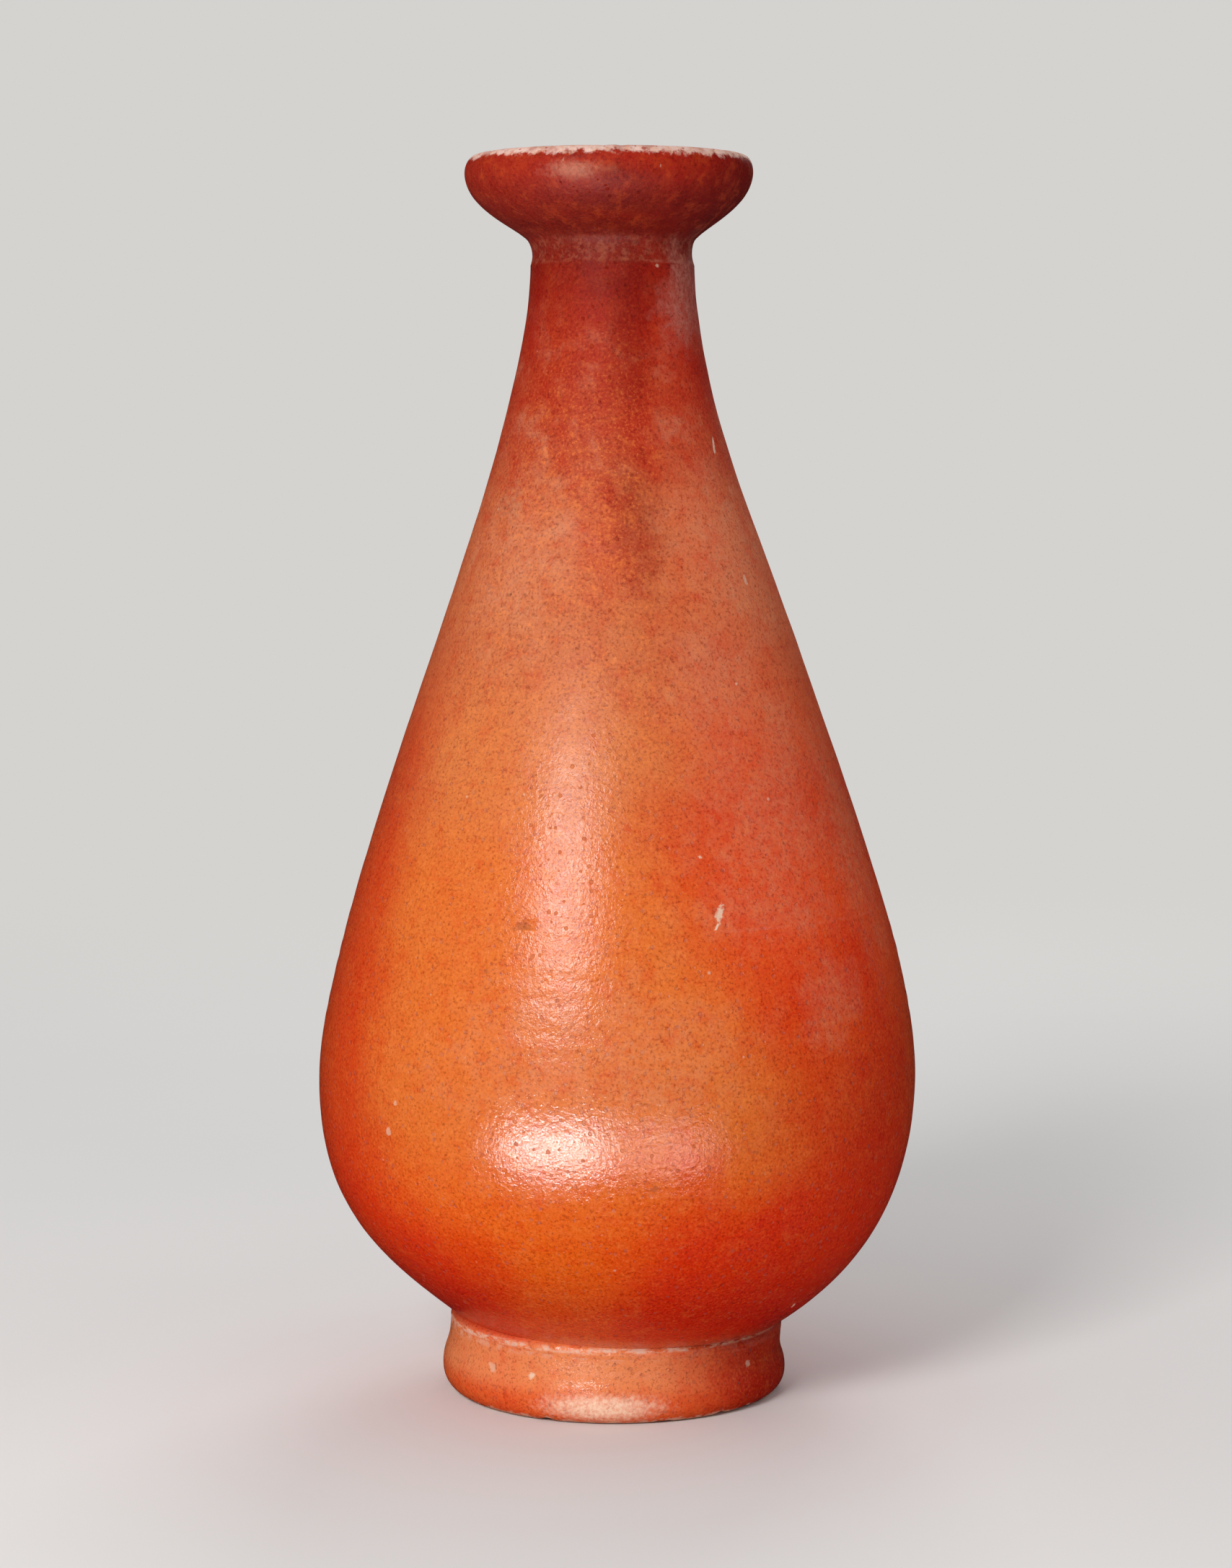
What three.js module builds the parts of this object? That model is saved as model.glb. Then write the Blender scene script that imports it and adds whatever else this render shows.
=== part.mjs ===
// A wheel-thrown bottle of red-gloss pottery: a round-bellied bowl and a tall tapering shoulder on a
// luted foot ring, with a shallow cup mouth on a narrow neck. Sizes are in millimetres, +Z is up, and
// the origin is the centre of the face that the foot stands on.
//
// The vessel was thrown and turned in four clay pieces. Each seats on the next through a thin bed of
// clay slip, so every bed is a piece of its own, as wide as the two rims that it joins.
import * as THREE from "three";

// Foot ring, turned by itself and luted under the bowl
const FOOT_HEIGHT = 13;
const REST_OUTER_R = 28;
const REST_INNER_R = 23.6;
const REST_EDGE = 0.5; // small bevel on the inner edge of the standing face
const FOOT_BULGE_R = 30.9;
const FOOT_BULGE_Z = 3.7;
const FOOT_WAIST_R = 29.8;
const FOOT_WAIST_Z = 10.2;
const FOOT_TOP_INNER_R = 21.6;
const FOOT_BEVEL_DROP = 1.4; // the outer top edge is bevelled to take the slip
const FOOT_SEAT_INSET = 0.6; // the bevel ends this far inside the bowl's base

// Slip beds between the pieces
const SLIP = 0.5;
const SLIP_FILLET_BULGE = 0.25;
const SLIP_BEAD = 0.8; // what was squeezed out on the inside of a joint

// Bowl, from its flat base to the joint above the belly
const BASE_R = 29.2;
const BASE_SLOPE = 35; // degrees above level, where the side leaves the base
const BASE_HANDLE = 18.4;
const BELLY_R = 53.5;
const BELLY_RISE = 43.5; // base to widest belly
const BELLY_LOW_HANDLE = 21.8;
const BOWL_RIM_RISE = 31; // widest belly to the bowl's rim
const BODY_WALL = 4.4;
const FLOOR_THICKNESS = 5.5;
const FLOOR_FILLET = 6;

// Shoulder: a curve off the belly, a straight cone, then the sweep into the neck
const CONE_LOW_RISE = 64; // widest belly to the foot of the cone
const CONE_LOW_R = 36.8;
const CONE_HEIGHT = 34;
const CONE_HIGH_R = 24.9;
const NECK_RISE = 45.7; // top of the cone to the neck's rim
const NECK_R = 14.45;
const BELLY_HANDLE = 8;
const CONE_LOW_HANDLE = 42;
const CONE_HIGH_HANDLE = 2;
const NECK_HANDLE = 17;

// Cup mouth: a short stem, a flaring cup and a rounded lip
const STEM_R = 14.3;
const STEM_HEIGHT = 2.9;
const STEM_WALL = 4.3;
const CUP_R = 25.4;
const CUP_RISE = 12.9; // top of the stem to the widest part of the cup
const STEM_HANDLE = 2.7;
const CUP_HANDLE = 7.2;
const LIP_THICKNESS = 4.4;
const LIP_HEIGHT = 3;

// Heights that follow from the stack
const BASE_Z = FOOT_HEIGHT + SLIP;
const BELLY_Z = BASE_Z + BELLY_RISE;
const BOWL_RIM_Z = BELLY_Z + BOWL_RIM_RISE;
const SHOULDER_Z = BOWL_RIM_Z + SLIP;
const CONE_LOW_Z = BELLY_Z + CONE_LOW_RISE;
const CONE_HIGH_Z = CONE_LOW_Z + CONE_HEIGHT;
const NECK_RIM_Z = CONE_HIGH_Z + NECK_RISE;
const STEM_Z = NECK_RIM_Z + SLIP;
const CUP_FOOT_Z = STEM_Z + STEM_HEIGHT;
const CUP_Z = CUP_FOOT_Z + CUP_RISE;
const FLOOR_Z = BASE_Z + FLOOR_THICKNESS;
const FOOT_BEVEL_Z = FOOT_HEIGHT - FOOT_BEVEL_DROP;
const FOOT_SEAT_R = BASE_R - FOOT_SEAT_INSET;

// Faces round the axis, and steps along each stretch of an outline
const SEGMENTS = 48;
const FOOT_STEPS = 5;
const BOWL_STEPS = 11;
const FLOOR_STEPS = 3;
const BELLY_STEPS = 6;
const SHOULDER_STEPS = 4;
const NECK_STEPS = 9;
const CUP_STEPS = 9;
const LIP_STEPS = 8;
const BISECTIONS = 40; // halvings that find where a curve passes a height

const at = (radius, height) => new THREE.Vector2(radius, height);

// The stretches of the outside, each running upwards
const baseSlope = THREE.MathUtils.degToRad(BASE_SLOPE);
const bowlSide = new THREE.CubicBezierCurve(
  at(BASE_R, BASE_Z),
  at(BASE_R + Math.cos(baseSlope) * BASE_HANDLE, BASE_Z + Math.sin(baseSlope) * BASE_HANDLE),
  at(BELLY_R, BELLY_Z - BELLY_LOW_HANDLE),
  at(BELLY_R, BELLY_Z),
);
const coneLean = (CONE_HIGH_R - CONE_LOW_R) / CONE_HEIGHT;
const bellySide = new THREE.CubicBezierCurve(
  at(BELLY_R, BELLY_Z),
  at(BELLY_R, BELLY_Z + BELLY_HANDLE),
  at(CONE_LOW_R - coneLean * CONE_LOW_HANDLE, CONE_LOW_Z - CONE_LOW_HANDLE),
  at(CONE_LOW_R, CONE_LOW_Z),
);
const neckSide = new THREE.CubicBezierCurve(
  at(CONE_HIGH_R, CONE_HIGH_Z),
  at(CONE_HIGH_R + coneLean * CONE_HIGH_HANDLE, CONE_HIGH_Z + CONE_HIGH_HANDLE),
  at(NECK_R, NECK_RIM_Z - NECK_HANDLE),
  at(NECK_R, NECK_RIM_Z),
);
const cupSide = new THREE.CubicBezierCurve(
  at(STEM_R, CUP_FOOT_Z),
  at(STEM_R, CUP_FOOT_Z + STEM_HANDLE),
  at(CUP_R, CUP_Z - CUP_HANDLE),
  at(CUP_R, CUP_Z),
);

// Points of a curve from parameter a to parameter b, both ends included
function along(curve, steps, a = 0, b = 1, place = outside) {
  return Array.from({ length: steps + 1 }, (_, i) => place(curve, a + ((b - a) * i) / steps));
}

function outside(curve, t) {
  return curve.getPoint(t);
}

// The body's inner face at the same height: the wall is measured square to the outside
function inside(curve, t) {
  const point = curve.getPoint(t);
  return at(point.x - BODY_WALL / curve.getTangent(t).y, point.y);
}

// The cup's inner face, square to the outside, thinning from the stem's wall to the lip's
function insideCup(curve, t) {
  const point = curve.getPoint(t);
  const run = curve.getTangent(t);
  const wall = THREE.MathUtils.lerp(STEM_WALL, LIP_THICKNESS, t);
  return at(point.x - run.y * wall, point.y + run.x * wall);
}

// The parameter at which a rising curve passes a height
function parameterAt(curve, height) {
  let low = 0;
  let high = 1;
  for (let i = 0; i < BISECTIONS; i++) {
    const middle = (low + high) / 2;
    if (curve.getPoint(middle).y < height) low = middle;
    else high = middle;
  }
  return (low + high) / 2;
}

// A solid of revolution about the vertical axis from an outline of (radius, height) points
function revolve(name, outline, material) {
  const geometry = new THREE.LatheGeometry(outline, SEGMENTS);
  geometry.rotateX(Math.PI / 2);
  const mesh = new THREE.Mesh(geometry, material);
  mesh.name = name;
  return mesh;
}

// The same, for a ring whose outline closes on itself
function revolveRing(name, outline, material) {
  return revolve(name, [...outline, outline[0].clone()], material);
}

function footRing() {
  const bulge = new THREE.EllipseCurve(
    REST_OUTER_R, FOOT_BULGE_Z, FOOT_BULGE_R - REST_OUTER_R, FOOT_BULGE_Z, -Math.PI / 2, 0,
  );
  const middle = (FOOT_BULGE_Z + FOOT_WAIST_Z) / 2;
  const waist = new THREE.CubicBezierCurve(
    at(FOOT_BULGE_R, FOOT_BULGE_Z),
    at(FOOT_BULGE_R, middle),
    at(FOOT_WAIST_R, middle),
    at(FOOT_WAIST_R, FOOT_WAIST_Z),
  );
  return revolveRing("foot_ring", [
    at(REST_INNER_R + REST_EDGE, 0),
    ...along(bulge, FOOT_STEPS),
    ...along(waist, FOOT_STEPS).slice(1),
    at(FOOT_WAIST_R, FOOT_BEVEL_Z),
    at(FOOT_SEAT_R, FOOT_HEIGHT),
    at(FOOT_TOP_INNER_R, FOOT_HEIGHT),
    at(REST_INNER_R, REST_EDGE),
  ], gloss("foot_ring_gloss"));
}

// The bed fills the bevel as well, and shows outside as a narrow band under the bowl
function footLuting() {
  return revolveRing("foot_luting", [
    at(FOOT_TOP_INNER_R, FOOT_HEIGHT),
    at(FOOT_SEAT_R, FOOT_HEIGHT),
    at(FOOT_WAIST_R, FOOT_BEVEL_Z),
    at((FOOT_WAIST_R + BASE_R) / 2 + SLIP_FILLET_BULGE, (FOOT_BEVEL_Z + BASE_Z) / 2),
    at(BASE_R, BASE_Z),
    at(FOOT_TOP_INNER_R, BASE_Z),
    at(FOOT_TOP_INNER_R - SLIP_BEAD, (FOOT_HEIGHT + BASE_Z) / 2),
  ], slip("foot_luting_slip"));
}

function bodyBowl() {
  const rim = parameterAt(bellySide, BOWL_RIM_Z);
  const filletTop = parameterAt(bowlSide, FLOOR_Z + FLOOR_FILLET);
  const wallFoot = inside(bowlSide, filletTop);
  const floorFillet = new THREE.QuadraticBezierCurve(
    wallFoot, inside(bowlSide, parameterAt(bowlSide, FLOOR_Z)), at(wallFoot.x - 2 * FLOOR_FILLET, FLOOR_Z),
  );
  return revolve("body_bowl", [
    at(0, BASE_Z),
    ...along(bowlSide, BOWL_STEPS),
    ...along(bellySide, BELLY_STEPS, 0, rim).slice(1),
    ...along(bellySide, BELLY_STEPS, rim, 0, inside),
    ...along(bowlSide, BOWL_STEPS, 1, filletTop, inside).slice(1),
    ...along(floorFillet, FLOOR_STEPS).slice(1),
    at(0, FLOOR_Z),
  ], gloss("body_bowl_gloss"));
}

function bodyLuting() {
  const low = parameterAt(bellySide, BOWL_RIM_Z);
  const high = parameterAt(bellySide, SHOULDER_Z);
  const innerLow = inside(bellySide, low);
  const innerHigh = inside(bellySide, high);
  return revolveRing("body_luting", [
    outside(bellySide, low),
    outside(bellySide, high),
    innerHigh,
    at((innerLow.x + innerHigh.x) / 2 - SLIP_BEAD, (BOWL_RIM_Z + SHOULDER_Z) / 2),
    innerLow,
  ], slip("body_luting_slip"));
}

function bodyShoulder() {
  const foot = parameterAt(bellySide, SHOULDER_Z);
  return revolveRing("body_shoulder", [
    ...along(bellySide, SHOULDER_STEPS, foot, 1),
    ...along(neckSide, NECK_STEPS),
    ...along(neckSide, NECK_STEPS, 1, 0, inside),
    ...along(bellySide, SHOULDER_STEPS, 1, foot, inside),
  ], gloss("body_shoulder_gloss"));
}

function mouthLuting() {
  const neckInner = inside(neckSide, 1);
  const stemInner = at(STEM_R - STEM_WALL, STEM_Z);
  return revolveRing("mouth_luting", [
    outside(neckSide, 1),
    at(STEM_R, STEM_Z),
    stemInner,
    at((neckInner.x + stemInner.x) / 2 - SLIP_BEAD, (NECK_RIM_Z + STEM_Z) / 2),
    neckInner,
  ], slip("mouth_luting_slip"));
}

function cupMouth() {
  const lip = new THREE.EllipseCurve(
    CUP_R - LIP_THICKNESS / 2, CUP_Z, LIP_THICKNESS / 2, LIP_HEIGHT, 0, Math.PI,
  );
  return revolveRing("cup_mouth", [
    at(STEM_R, STEM_Z),
    ...along(cupSide, CUP_STEPS),
    ...along(lip, LIP_STEPS).slice(1, -1),
    ...along(cupSide, CUP_STEPS, 1, 0, insideCup),
    at(STEM_R - STEM_WALL, STEM_Z),
  ], gloss("cup_mouth_gloss"));
}

// The glossy red slip over the fired clay
function gloss(name) {
  return new THREE.MeshStandardMaterial({ name, color: 0xb8491f, roughness: 0.38, metalness: 0 });
}

// The paler clay that shows where a joint was wiped or worn
function slip(name) {
  return new THREE.MeshStandardMaterial({ name, color: 0xc98a68, roughness: 0.75, metalness: 0 });
}

const bottle = new THREE.Group();
bottle.name = "bottle";
bottle.add(
  footRing(), footLuting(), bodyBowl(), bodyLuting(), bodyShoulder(), mouthLuting(), cupMouth(),
);

export default bottle;
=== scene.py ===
"""A wheel-thrown bottle of red-gloss pottery on a pale table, in soft studio light.

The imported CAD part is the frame. Each of its seven clay pieces is shown by a finer mesh: the section is
read from the CAD node, made smooth, turned round the axis, and given what the potter's hands and long
use left on it. Lengths are millimetres and angles are degrees, and MM turns lengths into Blender's metres.
"""

import math
from collections import namedtuple

import bmesh
import bpy
import numpy as np
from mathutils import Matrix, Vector, noise


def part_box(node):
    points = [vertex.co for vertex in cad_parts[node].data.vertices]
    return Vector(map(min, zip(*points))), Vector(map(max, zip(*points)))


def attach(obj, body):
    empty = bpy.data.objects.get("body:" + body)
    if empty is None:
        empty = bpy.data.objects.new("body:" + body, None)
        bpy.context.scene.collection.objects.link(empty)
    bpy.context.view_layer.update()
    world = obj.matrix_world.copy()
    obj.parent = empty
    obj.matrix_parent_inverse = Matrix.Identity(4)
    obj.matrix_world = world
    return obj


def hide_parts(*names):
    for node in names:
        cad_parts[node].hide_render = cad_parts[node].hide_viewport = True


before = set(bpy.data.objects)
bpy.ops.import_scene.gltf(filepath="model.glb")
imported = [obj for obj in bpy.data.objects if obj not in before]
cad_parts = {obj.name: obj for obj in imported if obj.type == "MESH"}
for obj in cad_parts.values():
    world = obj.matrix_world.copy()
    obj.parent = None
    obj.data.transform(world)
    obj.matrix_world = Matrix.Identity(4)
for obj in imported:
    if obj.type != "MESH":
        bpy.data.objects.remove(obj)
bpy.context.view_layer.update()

MM = 0.001
FULL_TURN = 2 * math.pi

# The photograph's camera, fitted to the arcs of the lip and the foot
CAMERA_DISTANCE = 650
CAMERA_HEIGHT = 169
CAMERA_ACROSS = 0.4
CAMERA_LOOKS_DOWN = 5.28
SENSOR = 36
LENS = 83.87

# Heights and radii that the finish refers to, from the frame
LIP_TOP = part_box("cup_mouth")[1].z / MM
NECK_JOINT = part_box("mouth_luting")[0].z / MM
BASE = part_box("body_bowl")[0].z / MM
FLOOR_BELOW = BASE + 12
FOOT_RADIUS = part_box("foot_ring")[1].x / MM
LIP_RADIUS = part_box("cup_mouth")[1].x / MM

# Steps round the axis, the least turn that counts as a corner, and how exactly a point lies on the section
AROUND = 360
CORNER = 35
ON_SECTION = 0.001
# How sharply the bare inside begins where the wall turns inward
INNER_EDGE = 20

# Each piece, its CAD node and slot, and the steps along its section, outside and inside
Piece = namedtuple("Piece", "name node slot outer_step inner_step")
PIECES = [
    Piece("foot", "foot_ring", "red_gloss", 0.45, 0.8),
    Piece("foot_joint", "foot_luting", "slip_bed", 0.16, 0.6),
    Piece("bowl", "body_bowl", "red_gloss", 0.75, 1.6),
    Piece("belly_joint", "body_luting", "slip_bed", 0.25, 0.5),
    Piece("shoulder_and_neck", "body_shoulder", "red_gloss", 0.75, 1.8),
    Piece("neck_joint", "mouth_luting", "slip_bed", 0.12, 0.5),
    Piece("mouth", "cup_mouth", "red_gloss", 0.4, 0.55),
]

# Marks on the outside: azimuth from the front (right is positive), height, size, lean to the right, depth
Mark = namedtuple("Mark", "azimuth height across tall lean depth", defaults=(0, 0))
PALE_MARKS = [
    Mark(22.2, 91.0, 1.2, 3.1, 22, 0.25),
    Mark(21.2, 88.9, 0.4, 1.6, 32, 0.08),
    Mark(19.2, 100.4, 0.7, 0.6, 0, 0.06),
    Mark(60.5, 168.9, 0.6, 3.2, 14, 0.08),
    Mark(-53.4, 26.6, 0.7, 1.3, 0, 0.08),
    Mark(54.7, 19.5, 1.5, 0.6, 40, 0.08),
    Mark(-28.4, 7.9, 1.1, 1.0, 0, 0.10),
]
FAINT_MARKS = [
    Mark(53.6, 145.9, 1.0, 1.4, 10),
    Mark(-30.0, 31.0, 0.8, 0.6),
    Mark(-44.4, 58.0, 0.8, 1.0, 15),
    Mark(-46.4, 53.0, 1.1, 1.4, 20),
    Mark(-43.2, 52.0, 0.7, 0.7),
    Mark(-48.6, 47.6, 0.9, 1.1, 0),
    Mark(-51.0, 56.0, 0.5, 0.7),
    Mark(51.6, 8.2, 1.2, 1.1),
    Mark(-45.1, 8.1, 1.8, 1.1, 30, 0.05),
    Mark(31.8, 200.2, 0.7, 0.8),
    Mark(18.5, 216.4, 0.4, 0.7),
    Mark(-19.5, 217.4, 0.6, 0.6),
]
DARK_MARKS = [
    Mark(-18.8, 89.1, 2.8, 2.1, 0, 0.28),
    Mark(-20.9, 88.6, 0.8, 0.7, 0, 0.10),
    Mark(-36.9, 75.7, 1.0, 0.7, 0, 0.10),
    Mark(-26.0, 81.6, 1.1, 0.8, 0, 0.08),
    Mark(-31.7, 143.7, 0.8, 0.6, 0, 0.08),
    Mark(-38.4, 143.6, 1.0, 0.7, 0, 0.08),
    Mark(6.7, 94.6, 0.5, 0.5, 0, 0.06),
    Mark(4.0, 126.5, 0.6, 0.5, 0, 0.06),
    Mark(7.4, 46.2, 1.5, 0.9, 0, 0.08),
    Mark(26.0, 51.6, 1.8, 0.6, 0, 0.05),
    Mark(-29.7, 218.4, 1.2, 0.7, 0, 0.16),
    Mark(-62.0, 215.6, 0.8, 0.8, 0, 0.08),
]
# Soft pale films of scale and rubbing on the gloss, and among them painted light: a painted sheen on the
# belly between the highlights and a painted highlight on the mouth
FILMS_AND_SHEEN = [
    Mark(51, 121, 9, 12),
    Mark(46, 113, 12, 10, 20),
    Mark(36, 91, 26, 7),
    Mark(46, 75, 12, 16, 30),
    Mark(30, 128, 16, 18),
    Mark(52, 150, 18, 30),
    Mark(68, 100, 16, 44),
    Mark(38, 104, 24, 34),
    # Painted highlight on the front of the mouth
    Mark(-13, 215.6, 8, 2.4),
    # Painted sheen on the front of the belly, between the highlights
    Mark(-4, 68, 44, 22),
    Mark(-36, 148, 17, 30),
    Mark(128, 104, 30, 22, 25),
    Mark(196, 62, 26, 34),
    Mark(-118, 150, 14, 30),
]
# Places where the gloss pooled or was brushed on thicker, and is a deeper red
DEEP_PATCHES = [
    Mark(17, 192, 5.5, 22),
    Mark(0, 152, 11, 22),
    Mark(13, 172, 6, 34),
    Mark(64, 181, 7, 14),
    Mark(-62, 190, 6, 18),
    Mark(56, 80, 15, 16, 25),
    Mark(62, 60, 22, 30),
    Mark(152, 120, 22, 50),
    Mark(-140, 74, 44, 40, 15),
    Mark(105, 42, 40, 22),
]
# Long darker streaks down the front of the neck and the upper cone, and painted shade on the right of the
# mouth
DARK_STREAKS_AND_SHADE = [
    Mark(12, 188, 7, 26),
    Mark(12, 196, 12, 8, 10),
    Mark(9, 156, 8, 40),
    Mark(0, 204, 32, 9),
    # Painted shade on the right of the mouth
    Mark(50, 212, 20, 13),
    Mark(70, 210, 20, 14),
    Mark(-14, 218.6, 7, 2),
    Mark(6, 211, 20, 5),
    Mark(2, 214.5, 9, 4),
]
# Grey-pink scale on the right of the neck, which stops short at its lower edge, and a greenish smudge
NECK_SCALE = Mark(61, 195, 14, 17, 24)
GREEN_SMUDGE = Mark(-50, 159, 5, 6)
# Painted highlights at the front of the foot and of the mouth, pale patches painted into the colour
FOOT_HIGHLIGHT = Mark(-4, 3.2, 17, 4.0)
MOUTH_HIGHLIGHT = Mark(-17, 215.8, 8, 2.5)

# How far the axis strays to the right (+X), by height, because hand-thrown pieces aren't luted dead centre
AXIS_STATIONS = [
    (0, 0.2), (7, 0.1), (14, 0.6), (25, 0.5), (42, 0.5), (63, 0.7), (79, 0.85), (94, 0.7), (118, 0.5),
    (141, 0.35), (156, 0.1), (164, -0.1), (175, -0.35), (194, -0.25), (203, -0.3), (209, -0.8), (220, -0.7),
]
# The wall above the foot leans: by how much, between which heights fully, and where the lean has ended
FOOT_LEAN = 0.033
LEAN_FULL_FROM = 12
LEAN_FULL_TO = 16
LEAN_ENDS = 45
# How it is out of round: the share of the radius, how many lobes, and in what height they turn a radian
OUT_OF_ROUND = [(0.0012, 2, 60), (0.0008, 3, -45)]


def ease(value, low, high):
    """0 at low, 1 at high and smooth between, for numbers and arrays."""
    share = np.clip((value - low) / (high - low), 0, 1)
    return share * share * (3 - 2 * share)


# Sections read from the frame

def section(node):
    """A CAD node's outline on the +X side in order, as (radius, height), and whether it closes on itself."""
    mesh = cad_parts[node].data
    places = {}
    for vertex in mesh.vertices:
        x, y, z = vertex.co / MM
        if abs(y) < ON_SECTION and x > -ON_SECTION:
            places[vertex.index] = (round(max(x, 0), 3), round(z, 3))
    links = {}
    for edge in mesh.edges:
        a, b = (places.get(i) for i in edge.vertices)
        if a and b and a != b:
            links.setdefault(a, set()).add(b)
            links.setdefault(b, set()).add(a)
    on_axis = [p for p in links if len(links[p]) == 1]
    path = [min(on_axis or links, key=lambda p: (p[1], p[0]))]
    while True:
        onward = [p for p in sorted(links[path[-1]]) if p not in path]
        if not onward:
            break
        path.append(onward[0])
    r, z = np.array(path).T
    area = np.sum(r * np.roll(z, -1) - np.roll(r, -1) * z)
    if area < 0:
        path.reverse()
    return path, not on_axis


def is_level(a, b):
    return abs(a[1] - b[1]) < ON_SECTION


def is_break(before, here, after):
    """True at a real corner, and where a level face begins or ends."""
    if is_level(before, here) != is_level(here, after):
        return True
    turn = math.atan2(after[1] - here[1], after[0] - here[0])
    turn -= math.atan2(here[1] - before[1], here[0] - before[0])
    turn = (turn + math.pi) % FULL_TURN - math.pi
    return abs(turn) > math.radians(CORNER)


def runs_of(path, closed):
    """The outline cut at its corners: a list of runs of points, each smooth from end to end."""
    count = len(path)
    if closed:
        corners = [i for i in range(count) if is_break(path[i - 1], path[i], path[(i + 1) % count])]
        path = path[corners[0]:] + path[:corners[0] + 1]
        corners = [i - corners[0] for i in corners] + [count]
    else:
        inner = range(1, count - 1)
        corners = [0] + [i for i in inner if is_break(path[i - 1], path[i], path[i + 1])] + [count - 1]
    return [path[a:b + 1] for a, b in zip(corners, corners[1:])]


def smooth_run(corners, step_at):
    """Points along a smooth curve through a run of corners, without its last one, step_at(way) apart."""
    p = np.array(corners, float)
    chords = np.diff(p, axis=0)
    lengths = np.linalg.norm(chords, axis=1)
    ways = chords / lengths[:, None]
    tangents = np.repeat(ways[:1], len(p), axis=0)
    if len(p) > 2:
        between = ways[:-1] * lengths[1:, None] + ways[1:] * lengths[:-1, None]
        tangents[1:-1] = between / np.linalg.norm(between, axis=1)[:, None]
        tangents[0] = 2 * np.dot(ways[0], tangents[1]) * ways[0] - tangents[1]
        tangents[-1] = 2 * np.dot(ways[-1], tangents[-2]) * ways[-1] - tangents[-2]
    points = []
    for i, length in enumerate(lengths):
        steps = max(1, round(length / step_at(ways[i])))
        for t in np.arange(steps) / steps:
            points.append(
                (2 * t**3 - 3 * t**2 + 1) * p[i] + (3 * t**2 - 2 * t**3) * p[i + 1]
                + length * ((t**3 - 2 * t**2 + t) * tangents[i] + (t**3 - t**2) * tangents[i + 1])
            )
    return points


def fine_outline(piece):
    """The piece's section as many points, and the outward normal at each."""
    path, closed = SECTIONS[piece.node]

    def step_at(way):
        faces_out = way[1] > 0
        return piece.outer_step if faces_out else piece.inner_step

    points = []
    for run in runs_of(path, closed):
        points += smooth_run(run, step_at)
    if not closed:
        points.append(np.array(path[-1], float))
    points = np.array(points)
    if closed:
        along = np.roll(points, -1, axis=0) - np.roll(points, 1, axis=0)
    else:
        along = np.gradient(points, axis=0)
        along[0] = along[0] * (1, 0)
        along[-1] = along[-1] * (1, 0)
    normals = np.stack([along[:, 1], -along[:, 0]], axis=1)
    return points, normals / np.linalg.norm(normals, axis=1)[:, None], closed


def distance_to(path, closed, points):
    """How far each point lies from an outline."""
    a = np.array(path, float)
    b = np.roll(a, -1, axis=0)
    if not closed:
        a, b = a[:-1], b[:-1]
    way = b - a
    from_a = points[:, None, :] - a[None]
    share = np.clip((from_a * way).sum(2) / (way * way).sum(1), 0, 1)
    return np.linalg.norm(from_a - share[..., None] * way, axis=2).min(axis=1)


# What the hand left on the surface

# Ridges and lumps in the clay: how high they stand, their seed, and the ridges' pitches or the lumps' size
Ridges = namedtuple("Ridges", "high seed pitches")
Lumps = namedtuple("Lumps", "high seed size")
WHEEL_LINES = (Ridges(0.007, 3, (2.3, 3.1, 4.7)), Ridges(0.018, 5, (7.9, 11.3)))
CALM = 0.55
CALM_VARIES = Ridges(0.45, 8, (61,))
RIPPLES = Ridges(0.035, 13, (3.1, 4.3))
RIPPLES_BEGIN = (64, 70)
RIPPLES_END = (82, 90)
OUTER_LUMPS = (Lumps(0.075, 1, 24), Lumps(0.03, 2, 6), Lumps(0.012, 14, 3))
FINGER_RIDGES = Ridges(0.16, 11, (8.5, 12.5))
FINGER_RIDGES_BEGIN = (26, 40)
FINGER_RIDGES_END = (175, 200)
INNER_LUMPS = Lumps(0.05, 3, 9)
FOOT_INSIDE_LUMPS = Lumps(0.06, 6, 5)
BED_LUMPS = Lumps(0.02, 4, 3)
SMEARED_LUMPS = (Lumps(0.16, 9, 3.2), Lumps(0.09, 10, 1.1))
SMEARED_ON = 0.06
RIDGE_TURNS = (-1, 3)
RIDGE_LOBES = (1, 4)
RIDGE_DRIFT = 0.5
SEEDS_APART = np.array((17.3, 5.1, 9.7))

# Turning marks under the base and on the floor inside
RINGS_HIGH = 0.05
RINGS_PITCH = 2.6
RINGS_STRAY = 1.2
RINGS_STRAY_OVER = 3.1
RINGS_BEGIN = (1.5, 5)
RINGS_END = (18, 20.5)

# Bites out of an edge: their seed and number, where the edge runs, and how they vary
Bites = namedtuple("Bites", "seed count radius height spread sizes depths")
LIP_BITES = Bites(21, 26, LIP_RADIUS - 1.1, LIP_TOP - 0.6, 0.5, (0.6, 1.5), (0.1, 0.26))
FOOT_BITES = Bites(22, 30, FOOT_RADIUS - 2.3, 0.15, 0.4, (0.7, 1.7), (0.12, 0.34))
BITE_FLOOR = 0.4
LIP_WORN = (LIP_TOP - 3.2, LIP_TOP - 1)
LIP_WEAR = 0.1
LIP_WEAR_MEAN = 0.5
LIP_WEAR_VARIES = Lumps(0.5, 7, 5)

# How a dent's depth falls off at its rim, as shares of its half size
DENT_RIM = (0.35, 1.25)

# A surface nearer to another piece than the first stays as it is, and beyond the second it is free to vary
TOUCHING = 0.04
FREE_BEYOND = {"red_gloss": 0.9, "slip_bed": 0.65}

# A normal's share outward, or up or down, from which a face counts as the outside, or as level
FACES_OUT = (-0.1, 0.15)
FACES_LEVEL = (0.9, 0.98)
# The foot's unevenness begins between these heights, so that it stands level
STANDING_EDGE = (0, 0.3)


def freedom(piece, points):
    """0 where the piece touches another, and 1 where its surface is free to vary."""
    others = [distance_to(*SECTIONS[p.node], points) for p in PIECES if p.node != piece.node]
    return ease(np.min(others, axis=0), TOUCHING, FREE_BEYOND[piece.slot])


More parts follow.
